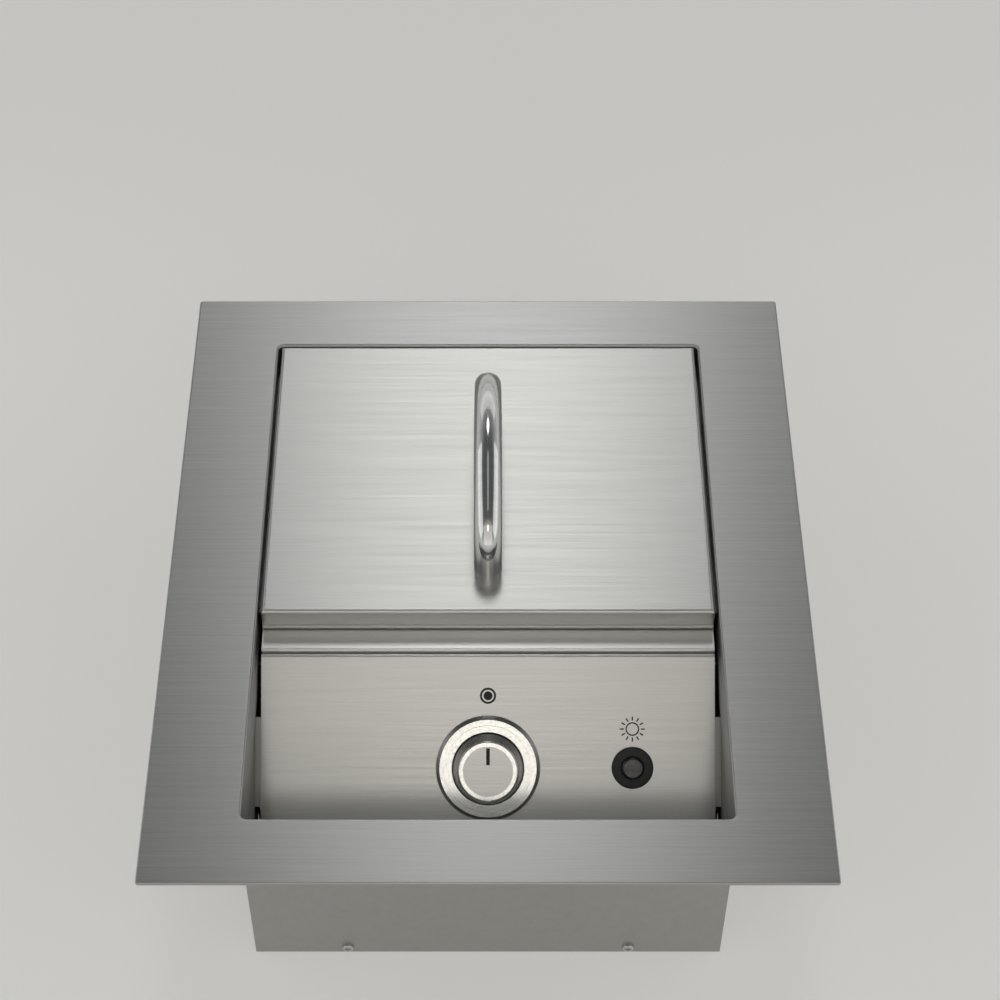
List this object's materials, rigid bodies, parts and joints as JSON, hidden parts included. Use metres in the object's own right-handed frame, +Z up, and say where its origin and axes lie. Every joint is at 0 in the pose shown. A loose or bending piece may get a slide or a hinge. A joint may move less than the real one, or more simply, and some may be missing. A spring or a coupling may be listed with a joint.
{
  "type": "infrared burner",
  "caption": "Drop-in infrared gas burner: flat steel frame, lift-off cover with a bow handle, ceramic tiles under a cooking grid, and a sunken sloped control panel with a knob.",
  "frame": {"origin": "under the middle of the top frame, on the plane that the box stands on", "axes": "+X right, +Y to the rear, +Z up; the controls are at -Y"},
  "size_m": [0.434, 0.5034, 0.227],
  "materials": {
    "frame_steel": "brushed along X",
    "cover_steel": "brushed along X",
    "panel_steel": "brushed along X",
    "ledge_steel": "brushed along X",
    "box_steel": "mill finish, dull",
    "burner_steel": "mill finish",
    "screw_steel": "satin",
    "gasket_fibre": "ceramic fibre, matte",
    "tile_ceramic": "matte, fine holes",
    "insulator_ceramic": "glazed",
    "electrode_steel": "heat dulled",
    "cast_aluminium": "as cast",
    "tube_aluminium": "satin",
    "brass": "machined",
    "stem_steel": "bright",
    "handle_chrome": "mirror polished",
    "bezel_chrome": "satin plated",
    "knob_chrome": "satin plated",
    "knob_face": "spun",
    "pointer_black": "matte",
    "igniter_black": "matte",
    "button_black": "half gloss",
    "battery_jacket": "plain jacket",
    "black_rubber": "matte",
    "grid_steel": "satin rod"
  },
  "bodies": {
    "base": {"top_frame": "frame_steel", "control_panel": "panel_steel", "front_ledge": "ledge_steel", "left_wall": "box_steel", "right_wall": "box_steel", "front_wall": "box_steel", "rear_wall": "box_steel", "floor_plate": "box_steel", "divider": "box_steel", "lid_rails": "box_steel", "panel_brackets": "box_steel", "burner_deck": "box_steel", "burner_plenum": "burner_steel", "burner_baffle": "burner_steel", "wall_screws": "screw_steel", "panel_screws": "screw_steel", "burner_screws": "screw_steel", "burner_nuts": "screw_steel", "bonnet_screws": "screw_steel", "tile_gasket": "gasket_fibre", "ceramic_tiles": "tile_ceramic", "electrode_insulator": "insulator_ceramic", "electrode_wire": "electrode_steel", "mixer_tube": "cast_aluminium", "valve_body": "cast_aluminium", "valve_bonnet": "cast_aluminium", "feed_tube": "tube_aluminium", "supply_tube": "tube_aluminium", "gas_orifice": "brass", "tube_nuts": "brass", "gas_inlet": "brass", "inlet_nut": "brass", "igniter_spring": "stem_steel", "knob_bezel": "bezel_chrome", "igniter_housing": "igniter_black", "igniter_nut": "igniter_black", "igniter_battery": "battery_jacket", "lead_grommet": "black_rubber", "igniter_lead": "black_rubber", "cooking_grid": "grid_steel", "grid_posts": "grid_steel"},
    "cover": {"lid_shell": "cover_steel", "lid_pads": "black_rubber", "lid_handle": "handle_chrome", "handle_plugs": "screw_steel", "handle_plate": "box_steel", "handle_screws": "screw_steel"},
    "plug": {"valve_plug": "brass", "stem_spring": "stem_steel"},
    "knob": {"valve_stem": "stem_steel", "stem_washer": "stem_steel", "knob_grip": "knob_chrome", "knob_insert": "brass", "knob_cap": "knob_face", "knob_pointer": "pointer_black"},
    "button": {"igniter_button": "button_black"},
    "shutter": {"air_shutter": "cast_aluminium"}
  },
  "joints": [
    {"name": "cover_lift", "type": "slide", "parent": "base", "child": "cover", "axis": [0, 0, 1], "range_m": [0, 0.25]},
    {"name": "knob_turn", "type": "hinge", "parent": "base", "child": "plug", "pos_m": [0, -0.12348, 0.09842], "axis": [0, -0.6157, 0.788], "range_deg": [0, 225]},
    {"name": "knob_push", "type": "slide", "parent": "plug", "child": "knob", "axis": [0, 0.6157, -0.788], "range_m": [0, 0.004], "stiffness_N_per_m": 600, "springref_m": -0.004, "deforming": ["stem_spring"]},
    {"name": "button_push", "type": "slide", "parent": "base", "child": "button", "axis": [0, 0.6157, -0.788], "range_m": [0, 0.004], "stiffness_N_per_m": 400, "springref_m": -0.004, "deforming": ["igniter_spring"]},
    {"name": "shutter_turn", "type": "hinge", "parent": "base", "child": "shutter", "pos_m": [0.055, -0.07011, 0.063], "axis": [0, 1, 0], "range_deg": [0, 60]}
  ]
}
